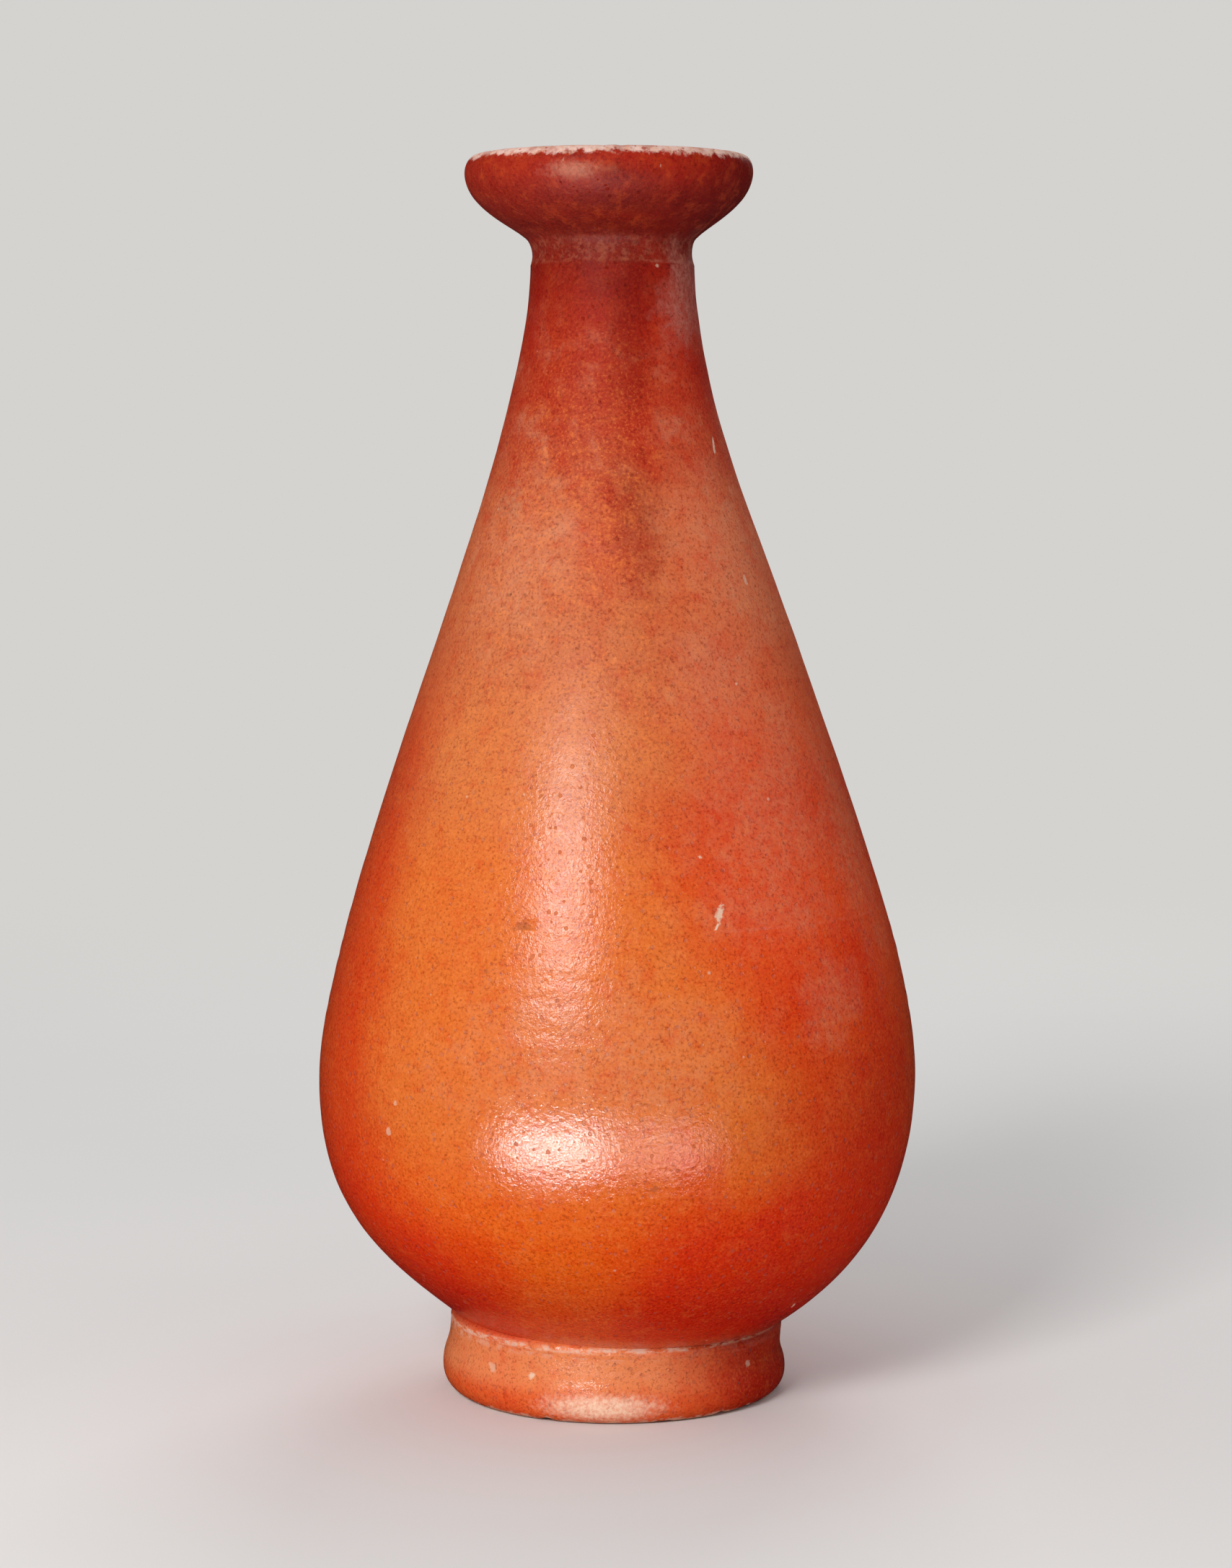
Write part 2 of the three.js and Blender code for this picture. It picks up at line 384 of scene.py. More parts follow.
def turned(ridges, azimuths, heights):
    """Fine ridges wound round the axis, as the wheel leaves them."""
    draw = np.random.default_rng(ridges.seed)
    total = np.zeros(np.broadcast(azimuths, heights).shape)
    for pitch in ridges.pitches:
        turns = int(draw.integers(*RIDGE_TURNS))
        start = draw.uniform(0, FULL_TURN)
        drift = RIDGE_DRIFT * np.sin(azimuths * int(draw.integers(*RIDGE_LOBES)) + draw.uniform(0, FULL_TURN))
        total += np.sin(FULL_TURN * heights / pitch + turns * azimuths + start + drift)
    return ridges.high * (total / len(ridges.pitches))


def lumpy(places, *lumps):
    """Smooth noise on an array of places."""
    total = 0
    for spec in lumps:
        flat = places.reshape(-1, 3) / spec.size + spec.seed * SEEDS_APART
        values = [noise.noise(Vector(p)) for p in flat]
        total = total + spec.high * np.array(values).reshape(places.shape[:-1])
    return total


def dent(mark, azimuths, radii, heights):
    """The depth of a mark at each place, with a soft rim."""
    off = (azimuths - math.radians(mark.azimuth) + math.pi) % FULL_TURN - math.pi
    lean = math.radians(mark.lean)
    right = off * radii
    up = heights - mark.height
    across = (right * math.cos(lean) - up * math.sin(lean)) / (mark.across / 2)
    along = (right * math.sin(lean) + up * math.cos(lean)) / (mark.tall / 2)
    return mark.depth * (1 - ease(np.hypot(across, along), *DENT_RIM))


def bitten(places, bites):
    """How deep the bites go, at seeded places along an edge that runs round the axis."""
    draw = np.random.default_rng(bites.seed)
    total = np.zeros(places.shape[:-1])
    for _ in range(bites.count):
        azimuth = draw.uniform(0, FULL_TURN)
        radius = bites.radius + draw.uniform(-bites.spread, bites.spread)
        size = draw.uniform(*bites.sizes)
        depth = draw.uniform(*bites.depths)
        centre = (radius * math.sin(azimuth), -radius * math.cos(azimuth), bites.height)
        away = np.linalg.norm(places - centre, axis=-1)
        total = np.maximum(total, depth * (1 - ease(away, BITE_FLOOR * size, size)))
    return total


def outer_relief(azimuths, radii, heights, places):
    """How far the outside stands off its smooth outline: wheel marks, unevenness and the marks' depths."""
    relief = sum(turned(ridges, azimuths, heights) for ridges in WHEEL_LINES)
    relief *= CALM + turned(CALM_VARIES, azimuths, heights)
    rippled = ease(heights, *RIPPLES_BEGIN) * (1 - ease(heights, *RIPPLES_END))
    relief += rippled * turned(RIPPLES, azimuths, heights)
    relief += lumpy(places, *OUTER_LUMPS)
    for mark in PALE_MARKS + DARK_MARKS:
        if mark.depth:
            relief -= dent(mark, azimuths, radii, heights)
    return relief


def inner_relief(azimuths, heights, places):
    """The inside wasn't turned, so the finger's spiral ridges stay on it."""
    ridges = turned(FINGER_RIDGES, azimuths, heights)
    ridges = ridges * ease(heights, *FINGER_RIDGES_BEGIN) * (1 - ease(heights, *FINGER_RIDGES_END))
    return ridges + lumpy(places, INNER_LUMPS)


def lip_relief(places):
    """Wear and bites along the crest of the lip."""
    near = ease(places[..., 2], *LIP_WORN)
    worn = -LIP_WEAR * near * (LIP_WEAR_MEAN + lumpy(places, LIP_WEAR_VARIES))
    return worn - bitten(places, LIP_BITES)


def base_relief(radii):
    """Turning marks under the base and on the floor inside."""
    rings = np.sin(FULL_TURN * radii / RINGS_PITCH + RINGS_STRAY * np.sin(radii / RINGS_STRAY_OVER))
    return RINGS_HIGH * rings * ease(radii, *RINGS_BEGIN)


def relief_of(piece, points, normals, azimuths, places):
    """How far each place of a piece moves along its normal."""
    radii = points[:, :1] + 0 * azimuths
    heights = points[:, 1:] + 0 * azimuths
    if piece.node == "foot_luting":
        relief = lumpy(places, *SMEARED_LUMPS) + SMEARED_ON
    elif piece.slot == "slip_bed":
        relief = lumpy(places, BED_LUMPS)
    else:
        faces_out = ease(normals[:, :1], *FACES_OUT)
        level = ease(np.abs(normals[:, 1:]), *FACES_LEVEL)
        outside = outer_relief(azimuths, radii, heights, places)
        inside = inner_relief(azimuths, heights, places)
        if piece.node == "foot_ring":
            inside = lumpy(places, FOOT_INSIDE_LUMPS)
        relief = faces_out * outside + (1 - faces_out) * (1 - level) * inside
        if piece.node == "body_bowl":
            relief += level * base_relief(radii) * (1 - ease(radii, *RINGS_END))
    relief = relief * freedom(piece, points)[:, None]
    if piece.node == "cup_mouth":
        relief += lip_relief(places)
    if piece.node == "foot_ring":
        relief = relief * ease(heights, *STANDING_EDGE) - bitten(places, FOOT_BITES)
    return relief


def stray(heights):
    """How far the axis lies to the right at each height."""
    curve = smooth_run(AXIS_STATIONS, lambda way: 1)
    curve.append(np.array(AXIS_STATIONS[-1], float))
    z, x = np.array(curve).T
    return np.interp(heights, z, x)


def settle(places):
    """Moves all places by one gentle rule, so that the pieces still meet: stray axis, lean and ovality."""
    x, y, z = places[..., 0], places[..., 1], places[..., 2]
    lean = ease(z, 0, LEAN_FULL_FROM) * (1 - ease(z, LEAN_FULL_TO, LEAN_ENDS))
    azimuths = np.arctan2(x, -y)
    oval = 1
    for share, lobes, twist in OUT_OF_ROUND:
        oval = oval + share * np.sin(lobes * azimuths + z / twist)
    return np.stack([x * oval + stray(z), y * oval, z - FOOT_LEAN * x * lean], axis=-1)


# Meshes

def is_pole(row, rows, closed):
    """An outline that isn't closed begins and ends on the axis, so its end rings are single points."""
    return not closed and row in (0, rows - 1)


def faces_of(rows, closed):
    """Faces of a grid of rings, wound so that they face out, and each corner's place on the grid."""
    faces = []
    corners = []
    starts = [0]
    for row in range(rows - 1):
        starts.append(starts[-1] + (1 if is_pole(row, rows, closed) else AROUND))

    def vertex(row, column):
        row %= rows
        return starts[row] if is_pole(row, rows, closed) else starts[row] + column % AROUND

    for row in range(rows if closed else rows - 1):
        for k in range(AROUND):
            grid = [(row, k), (row, k + 1), (row + 1, k + 1), (row + 1, k)]
            if is_pole(row, rows, closed):
                grid = [(row, k + 0.5), (row + 1, k + 1), (row + 1, k)]
            elif is_pole(row + 1, rows, closed):
                grid = [(row, k), (row, k + 1), (row + 1, k + 0.5)]
            faces.append([vertex(i, int(j)) for i, j in grid])
            corners += grid
    return faces, corners


def build(piece):
    """One clay piece as a mesh object that stands for its CAD node."""
    points, normals, closed = fine_outline(piece)
    rows = len(points)
    azimuths = np.arange(AROUND)[None, :] * FULL_TURN / AROUND
    round_x = np.sin(azimuths)
    round_y = -np.cos(azimuths)

    def spun(r, z):
        return np.stack([r * round_x, r * round_y, z + 0 * round_x], axis=-1)

    places = spun(points[:, :1], points[:, 1:])
    outward = spun(normals[:, :1], normals[:, 1:])
    relief = relief_of(piece, points, normals, azimuths, places)
    places = settle(places + relief[..., None] * outward)
    inside = np.clip(-normals[:, 0] * INNER_EDGE, 0, 1)
    if piece.node == "body_bowl":
        floor_inside = (normals[:, 1] > 0.5) & (points[:, 1] < FLOOR_BELOW)
        inside = np.maximum(inside, floor_inside)
    rings = [places[row, :1] if is_pole(row, rows, closed) else places[row] for row in range(rows)]
    inner = np.concatenate([np.full(len(ring), share) for ring, share in zip(rings, inside)])
    coordinates = np.concatenate(rings) * MM
    if piece.node == "foot_ring":
        coordinates[:, 2] = np.maximum(coordinates[:, 2], 0)
    faces, corners = faces_of(rows, closed)

    mesh = bpy.data.meshes.new(piece.name)
    mesh.from_pydata(coordinates.tolist(), [], faces)
    mesh.polygons.foreach_set("use_smooth", [True] * len(mesh.polygons))
    mesh.set_sharp_from_angle(angle=math.radians(CORNER))
    attribute = mesh.attributes.new("inner", "FLOAT", "POINT")
    attribute.data.foreach_set("value", inner.astype(np.float32))
    along = np.linalg.norm(np.diff(points, axis=0, append=points[:1]), axis=1)
    reached = np.concatenate([[0], np.cumsum(along)])
    whole = reached[-1] if closed else reached[-2]
    sheet = mesh.uv_layers.new(name="OFBake")
    flat = [(k / AROUND, reached[row] / whole) for row, k in corners]
    sheet.data.foreach_set("uv", np.array(flat, np.float32).ravel())
    mesh.update()

    made = bpy.data.objects.new(piece.name, mesh)
    bpy.context.scene.collection.objects.link(made)
    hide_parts(piece.node)
    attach(made, "root")
    return made


# Materials

class Paint:
    """The nodes of one material or world. Each method adds what it names and gives back the output."""

    def __init__(self, owner):
        owner.use_nodes = True
        self.owner = owner
        self.tree = owner.node_tree
        self.tree.nodes.clear()

    def node(self, kind, inputs=(), **settings):
        made = self.tree.nodes.new("ShaderNode" + kind)
        for name, value in settings.items():
            setattr(made, name, value)
        for name, value in dict(inputs).items():
            self.put(made.inputs[name], value)
        return made

    def put(self, socket, value):
        if isinstance(value, bpy.types.NodeSocket):
            self.tree.links.new(value, socket)
        else:
            socket.default_value = value

    def finish(self, shader, kind="OutputMaterial"):
        """Wires the shader to the output, and gives back the material or world."""
        self.put(self.node(kind).inputs[0], shader.outputs[0])
        return self.owner

    def math(self, operation, a, b=0.0, c=0.0):
        return self.node("Math", {0: a, 1: b, 2: c}, operation=operation).outputs[0]

    def add(self, a, b):
        return self.math("ADD", a, b)

    def times(self, a, b):
        return self.math("MULTIPLY", a, b)

    def most(self, values):
        total = values[0]
        for value in values[1:]:
            total = self.math("MAXIMUM", total, value)
        return total

    def span(self, value, low, high, start=0.0, end=1.0):
        """Maps low..high to start..end smoothly, and clamps."""
        given = {"Value": value, "From Min": low, "From Max": high, "To Min": start, "To Max": end}
        return self.node("MapRange", given, interpolation_type="SMOOTHSTEP").outputs[0]

    def scaled(self, vector, factors):
        return self.node("VectorMath", {0: vector, 1: factors}, operation="MULTIPLY").outputs[0]

    def length(self, vector):
        return self.node("VectorMath", {0: vector}, operation="LENGTH").outputs[1]

    def noise(self, vector, texture):
        given = {
            "Vector": vector, "Scale": 1 / texture.size, "Detail": texture.detail,
            "Roughness": texture.roughness, "Distortion": texture.warp,
        }
        return self.node("TexNoise", given).outputs["Fac"]

    def cells(self, vector, size):
        """Distance to the nearest of a scatter of points, in units of size, and a colour for each point."""
        made = self.node("TexVoronoi", {"Vector": vector, "Scale": 1 / size, "Randomness": 1})
        return made.outputs["Distance"], made.outputs["Color"]

    def mix(self, share, a, b, blend="MIX"):
        made = self.node("Mix", data_type="RGBA", blend_type=blend)
        self.put(made.inputs[0], share)
        self.put(made.inputs[6], a)
        self.put(made.inputs[7], b)
        return made.outputs[2]

    def tint(self, share, colour, filter_colour):
        return self.mix(share, colour, filter_colour, "MULTIPLY")

    def ramp(self, value, stops):
        made = self.node("ValToRGB", {0: value})
        made.color_ramp.interpolation = "EASE"
        elements = made.color_ramp.elements
        while len(elements) < len(stops):
            elements.new(0.5)
        for element, (position, colour) in zip(elements, stops):
            element.position = position
            element.color = colour
        return made.outputs[0]


def tone(red, green, blue):
    return (red, green, blue, 1.0)


# Colours, linear
FOOT_EDGE = tone(0.80, 0.120, 0.025)
FOOT_DUSTY = tone(0.84, 0.262, 0.094)
BRICK_RED = tone(0.71, 0.054, 0.006)
LOW_ORANGE = tone(0.82, 0.116, 0.004)
ORANGE = tone(0.72, 0.154, 0.023)
SOFT_ORANGE = tone(0.66, 0.176, 0.045)
DUSTY_ORANGE = tone(0.57, 0.143, 0.047)
DULL_ORANGE = tone(0.56, 0.130, 0.046)
DULL_RED = tone(0.45, 0.055, 0.018)
NECK_RED = tone(0.39, 0.027, 0.007)
MOUTH_RED = tone(0.25, 0.009, 0.002)
LIP_RED = tone(0.34, 0.018, 0.006)
MOUTH_ORANGE = tone(0.46, 0.040, 0.006)
BRIGHTER = tone(0.88, 0.240, 0.050)
PINK_FILM = tone(0.66, 0.300, 0.170)
GREY_SCALE = tone(0.48, 0.160, 0.120)
GREEN_SCALE = tone(0.40, 0.200, 0.110)
# The colour of the painted highlights on the foot and the mouth
PAINTED_HIGHLIGHT = tone(1.00, 0.660, 0.470)
LIP_CLAY = tone(0.86, 0.640, 0.560)
PALE_CLAY = tone(0.78, 0.500, 0.380)
BARE_CLAY = tone(0.70, 0.330, 0.190)
LIME = tone(0.82, 0.640, 0.470)
SOOT = tone(0.10, 0.030, 0.015)

# Filters, which multiply the colour under them
DEEPER = tone(0.93, 0.400, 0.330)
DARKER = tone(0.62, 0.480, 0.450)
# Painted light, which lifts the upper cone and neck on the right
PAINTED_LIGHT_RIGHT = tone(1.25, 1.120, 1.200)

# The gloss from the standing edge to the lip, by share of the whole height
GLOSS_BY_HEIGHT = [
    (0.00, FOOT_EDGE), (0.016, FOOT_EDGE), (0.033, FOOT_DUSTY), (0.055, FOOT_DUSTY), (0.075, BRICK_RED),
    (0.15, LOW_ORANGE), (0.27, ORANGE), (0.42, ORANGE), (0.53, SOFT_ORANGE), (0.62, DUSTY_ORANGE),
    (0.70, DULL_ORANGE), (0.78, DULL_RED), (0.84, NECK_RED), (0.92, MOUTH_RED), (1.00, LIP_RED),
]

# Where the gloss changes, as pairs of heights: it begins at the first and is full at the second
BELLY_TO_CONE = (62, 92)
LOW_BELLY = (48, 30)
BELOW_BELLY = (62, 40)
BELOW_CONE = (150, 110)
ABOVE_FOOT = (11, 17)
AT_FOOT = (17, 12)
AT_MOUTH = (196, 206)
DARK_LOW = (55, 32)
ABOVE_BELLY = (56, 92)
UPPER_CONE = (118, 160)
DUST_THINS = (168, 205)
PALE_THINS = (164, 198)
STEM_BEGINS = (NECK_JOINT - 0.3, NECK_JOINT + 0.6)
STEM_ENDS = (206.5, 204)
CUP = (203, 208)
DULL = (97, 153)
SILKY = (66, 96)

# The side where it is most orange, as an azimuth, and how far round from it the painted side shade and the
# clouds begin: painted shade makes the gloss deeper red round the sides, and the clouds stronger there
BELLY_FRONT = -12
CONE_FRONT = -22
SHADED_RED_SIDES = (math.radians(22), math.radians(54))
CLOUDED_SIDES = (math.radians(20), math.radians(60))
# How far the painted side shade closes in low on the belly, as painted shade under the belly, and how far its
# edge wanders, in radians
RED_CLOSES_IN = 0.36
RED_WANDERS = 0.15
# The side where painted shade darkens the foot, the lower belly and the mouth, away from the key light
SHADED_SIDE = 95

# Noise in the materials: the size of its lumps, how many finer ones it has, how strong they are, its warp
Texture = namedtuple("Texture", "size detail roughness warp", defaults=(0,))
WANDER = Texture(30, 2, 0.5)
CLOUDS = Texture(17, 3, 0.55, 0.6)
MOTTLE = Texture(6.5, 4, 0.62, 0.5)
BRUSH_STREAKS = Texture(3.6, 3, 0.6)
TURNED_LINES = Texture(1.4, 4, 0.65)
RAGGED = Texture(4.5, 3, 0.6)
DUST = Texture(1.3, 4, 0.7)
SMALL_CLOUDS = Texture(2.6, 4, 0.68, 0.3)
GRAIN = Texture(0.5, 3, 0.7)
SHEEN = Texture(5, 4, 0.7)
FINE_SHEEN = Texture(0.9, 3, 0.7)
PEEL = Texture(1.1, 3, 0.7)
GRIT = Texture(0.3, 2, 0.5)
LIP_PATCHES = Texture(5, 3, 0.6)
JOINT_GAPS = Texture(2.4, 3, 0.6)
BROKEN_EDGE = Texture(1.6, 4, 0.65)
DRIPS = Texture(3, 2, 0.5)
RAGGED_MARKS = Texture(0.8, 3, 0.6)
CLAY_GRAIN = Texture(0.9, 4, 0.7)
LIP_GRAIN = Texture(1.8, 4, 0.7)
HIGHLIGHT_GRAIN = Texture(0.7, 3, 0.7)
SLIP_LUMPS = Texture(1.3, 4, 0.68, 0.4)
SLIP_GRAIN = Texture(0.8, 4, 0.7)
TABLE_CAST = Texture(90, 3, 0.5)

# Factors on a place along x, y and z, which stretch a noise
BRUSHED_UP = (1, 1, 0.09)
WOUND_ROUND = (0.04, 0.04, 1)
RUN_DOWN = (1, 1, 0.06)
SMEARED_ROUND = (0.4, 0.4, 1.3)

# Round specks: how far apart, the share of them that shows, and their least and greatest radius in that unit
Specks = namedtuple("Specks", "size share least most")
DOTS = Specks(1.4, 0.65, 0.08, 0.3)
HOLES = Specks(3.6, 0.14, 0.03, 0.09)
CRUMBS = Specks(1.9, 0.3, 0.02, 0.07)
LIME_SPECKS = Specks(5.2, 0.2, 0.03, 0.08)
LIP_NICKS = Specks(2.1, 0.5, 0.08, 0.28)
SMALL_LIP_NICKS = Specks(0.9, 0.35, 0.1, 0.3)
SLIP_CRUMBS = Specks(1.1, 0.4, 0.1, 0.3)
SPECK_EDGE = 0.05

# How high the bump stands, in millimetres
PEEL_HIGH = 0.13
GRIT_HIGH = 0.02
DOTS_DEEP = 0.065
HOLES_DEEP = 0.05
SLIP_LUMPS_HIGH = 0.1

# How strongly the gloss shines, on the belly and on the duller upper cone and neck
GLOSS_LEVEL = 0.37
DULL_LEVEL = 0.085

# Where the gloss is worn: the lip's crest, the standing edge, and a band just below the foot's joint
CREST = (LIP_TOP - 1.6, LIP_TOP - 0.7)
WORN_EDGE = (0.9, 0.2)
JOINT_BAND_BELOW = 1.2
JOINT_BAND = (1.4, 0.4)
PALE_LIP = (LIP_TOP - 4, LIP_TOP - 3)
# The gloss that ran down inside the neck ends between these heights
DRIP_ENDS = (NECK_JOINT - 34, NECK_JOINT - 6)
DRIP_EDGE = (-0.2, 0.2)

# Where the slip beds' own clay shows: along the top of the fillet at the foot, and faintly on the right
SLIP_AT_FOOT = (BASE + 9, BASE + 2)
FILLET_TOP_BELOW = 0.5
FILLET_TOP = (0.7, 0.2)
SLIP_RIGHT = (math.radians(15), math.radians(30))
SLIP_RIGHT_SHARE = 0.07

# How far a leaning mark reaches into the wall and out of it
MARK_DEPTH = 3.2


def surface_place(paint):
    """The surface point, in millimetres."""
    return paint.scaled(paint.node("TexCoord").outputs["Object"], (1 / MM, 1 / MM, 1 / MM))


def clay_places(paint):
    """The surface point, its azimuth and its height, as the other functions need them."""
    place = surface_place(paint)
    x, y, z = paint.node("SeparateXYZ", {0: place}).outputs
    azimuth = paint.math("ARCTAN2", x, paint.times(y, -1.0))
    return place, azimuth, z


def mark_mask(paint, place, mark, ragged, softness):
    """1 inside a mark on the outside of the vessel and 0 beyond it, with a ragged edge."""
    azimuth = math.radians(mark.azimuth)
    lean = math.radians(mark.lean)
    out = Vector((math.sin(azimuth), -math.cos(azimuth), 0))
    right = Vector((math.cos(azimuth), math.sin(azimuth), 0))
    up = Vector((0, 0, 1))
    middle = out * wall_radius(mark.height) + up * mark.height
    if mark.lean:
        across = (right * math.cos(lean) - up * math.sin(lean)) / (mark.across / 2)
        along = (right * math.sin(lean) + up * math.cos(lean)) / (mark.tall / 2)
        total = 0.0
        for axis in (across, along, out / max(MARK_DEPTH, mark.across / 4)):
            dot = paint.node("VectorMath", {0: place, 1: axis}, operation="DOT_PRODUCT").outputs[1]
            off = paint.math("SUBTRACT", dot, axis.dot(middle))
            total = paint.math("MULTIPLY_ADD", off, off, total)
        distance = paint.math("SQRT", total)
    else:
        scale = Vector((2 / mark.across, 2 / mark.across, 2 / mark.tall))
        given = {0: place, 1: scale, 2: -middle * scale}
        distance = paint.length(paint.node("VectorMath", given, operation="MULTIPLY_ADD").outputs[0])
    return paint.span(paint.add(distance, ragged), 1 + softness, 1 - softness)


def mark_masks(paint, place, marks, ragged, softness):
    total = 0.0
    for mark in marks:
        total = paint.math("MAXIMUM", mark_mask(paint, place, mark, ragged, softness), total)
    return total


def speckles(paint, place, specks):
    """1 inside each speck and 0 between them."""
    distance, colour = paint.cells(place, specks.size)
    split = paint.node("SeparateColor", {0: colour})
    shows = paint.math("LESS_THAN", split.outputs[0], specks.share)
    reach = paint.span(split.outputs[1], 0, 1, specks.least, specks.most)
    inside = paint.math("SUBTRACT", reach, distance)
    return paint.times(shows, paint.span(inside, 0.0, SPECK_EDGE))


def shaded_sides(paint, place, azimuth, height):
    """The gloss by height and side, with painted shade deeper red round the sides and under the belly, darker
    on the right of the foot, lower belly and mouth, and painted light on the upper right. Also gives how far
    round a point is and how strong the painted side shade is there.
    """
    colour = paint.ramp(paint.times(height, 1 / LIP_TOP), GLOSS_BY_HEIGHT)
    front = paint.span(height, *BELLY_TO_CONE, math.radians(BELLY_FRONT), math.radians(CONE_FRONT))
    from_front = paint.math("ABSOLUTE", paint.math("SUBTRACT", azimuth, front))
    wander = paint.span(paint.noise(place, WANDER), 0.3, 0.7, -RED_WANDERS, RED_WANDERS)
    reach = paint.add(wander, paint.times(paint.span(height, *LOW_BELLY), RED_CLOSES_IN))
    shaded_red = paint.span(paint.add(from_front, reach), *SHADED_RED_SIDES)
    below_cone = paint.span(height, *BELOW_CONE)
    on_body = paint.times(below_cone, paint.span(height, *ABOVE_FOOT, 0.1, 1))
    shaded_red_body = paint.times(shaded_red, on_body)
    # Painted shade: deeper red round the sides of the body, and deeper again low on the belly's sides
    colour = paint.tint(shaded_red_body, colour, DEEPER)
    colour = paint.tint(paint.times(shaded_red_body, paint.span(height, *BELOW_BELLY, 0, 0.5)), colour, DEEPER)

    # Painted shade: darker on the right, on the lower belly, the foot and the mouth
    toward_shade = paint.math("COSINE", paint.add(azimuth, -math.radians(SHADED_SIDE)))
    painted_shade_right = paint.span(paint.add(toward_shade, wander), 0.2, 0.95)
    ends = paint.most([paint.span(height, *AT_FOOT), paint.span(height, *AT_MOUTH)])
    colour = paint.tint(paint.times(painted_shade_right, paint.span(height, *DARK_LOW, 0, 0.6)), colour, DEEPER)
    colour = paint.tint(paint.times(painted_shade_right, ends), colour, DEEPER)
    # Painted light: the upper cone and neck are painted lighter on the right
    painted_light_upper_right = paint.times(paint.span(toward_shade, 0.0, 0.7), paint.span(height, *ABOVE_BELLY))
    colour = paint.tint(painted_light_upper_right, colour, PAINTED_LIGHT_RIGHT)
    colour = paint.tint(paint.times(painted_shade_right, ends), colour, DARKER)
    return colour, from_front, shaded_red


def gloss_colour(paint, place, azimuth, height):
    """The gloss with its clouds, brush streaks, wheel lines, films, smudges and grain, with painted sheen on
    the belly, a painted highlight on the mouth and painted shade on the mouth's right.
    """
    colour, from_front, shaded_red = shaded_sides(paint, place, azimuth, height)
    # The clouds are stronger round the sides, as part of the painted side shade
    clouds = paint.span(paint.noise(place, CLOUDS), 0.5, 0.75, 0, 0.5)
    clouds = paint.times(clouds, paint.span(from_front, *CLOUDED_SIDES, 0.2, 1))
    colour = paint.tint(clouds, colour, DEEPER)
    upper = paint.span(height, *UPPER_CONE)
    mottle = paint.noise(place, MOTTLE)
    dusty = paint.times(upper, paint.span(height, *DUST_THINS, 0.3, 0.02))
    colour = paint.mix(paint.times(paint.span(mottle, 0.5, 0.72), dusty), colour, PINK_FILM)
    colour = paint.tint(paint.times(paint.span(mottle, 0.5, 0.3), paint.times(upper, 0.6)), colour, DEEPER)
    streaks = paint.noise(paint.scaled(place, BRUSHED_UP), BRUSH_STREAKS)
    colour = paint.tint(paint.span(streaks, 0.52, 0.75, 0, 0.3), colour, DEEPER)
    lines = paint.noise(paint.scaled(place, WOUND_ROUND), TURNED_LINES)
    strength = paint.times(paint.span(height, *PALE_THINS, 1, 0.15), paint.span(shaded_red, 0, 1, 1, 0.5))
    colour = paint.mix(paint.times(paint.span(lines, 0.52, 0.75, 0, 0.12), strength), colour, BRIGHTER)
    colour = paint.tint(paint.span(lines, 0.48, 0.25, 0, 0.25), colour, DEEPER)

    ragged = paint.span(paint.noise(place, RAGGED), 0.25, 0.75, -0.45, 0.45)
    deep = mark_masks(paint, place, DEEP_PATCHES, ragged, 0.6)
    colour = paint.tint(paint.times(deep, 0.65), colour, DEEPER)
    # Darker streaks, and painted shade darkening the right of the mouth
    shade = mark_masks(paint, place, DARK_STREAKS_AND_SHADE, ragged, 0.7)
    colour = paint.tint(paint.times(shade, 0.6), colour, DARKER)
    dust = paint.span(paint.noise(place, DUST), 0.4, 0.65)
    # Pale films, partly scale and partly painted sheen and a painted highlight
    films_and_sheen = mark_masks(paint, place, FILMS_AND_SHEEN, ragged, 0.75)
    colour = paint.mix(paint.times(films_and_sheen, paint.add(paint.times(dust, 0.17), 0.15)), colour, PINK_FILM)
    scale = mark_mask(paint, place, NECK_SCALE, paint.times(ragged, 0.8), 0.5)
    colour = paint.mix(paint.times(scale, paint.add(paint.times(dust, 0.4), 0.4)), colour, GREY_SCALE)
    smudge = mark_mask(paint, place, GREEN_SMUDGE, ragged, 0.6)
    colour = paint.mix(paint.times(smudge, paint.add(paint.times(dust, 0.4), 0.1)), colour, GREEN_SCALE)

    stem = paint.times(paint.span(height, *STEM_BEGINS), paint.span(height, *STEM_ENDS))
    colour = paint.mix(paint.times(stem, paint.span(dust, 0, 1, 0.02, 0.13)), colour, PINK_FILM)
    at_cup = paint.span(height, *CUP)
    cloudy = paint.noise(place, SMALL_CLOUDS)
    smudges = paint.add(paint.span(mottle, 0.5, 0.68, 0, 0.3), paint.span(cloudy, 0.5, 0.66, 0, 0.4))
    colour = paint.mix(paint.times(at_cup, smudges), colour, MOUTH_ORANGE)
    colour = paint.tint(paint.span(cloudy, 0.5, 0.3, 0, 0.4), colour, DEEPER)
    colour = paint.mix(paint.times(paint.span(cloudy, 0.52, 0.72, 0, 0.3), strength), colour, BRIGHTER)
    grain = paint.noise(place, GRAIN)
    colour = paint.tint(paint.span(grain, 0.5, 0.3, 0, 1), colour, DARKER)
    return paint.mix(paint.times(paint.span(grain, 0.52, 0.7, 0, 0.45), strength), colour, BRIGHTER)


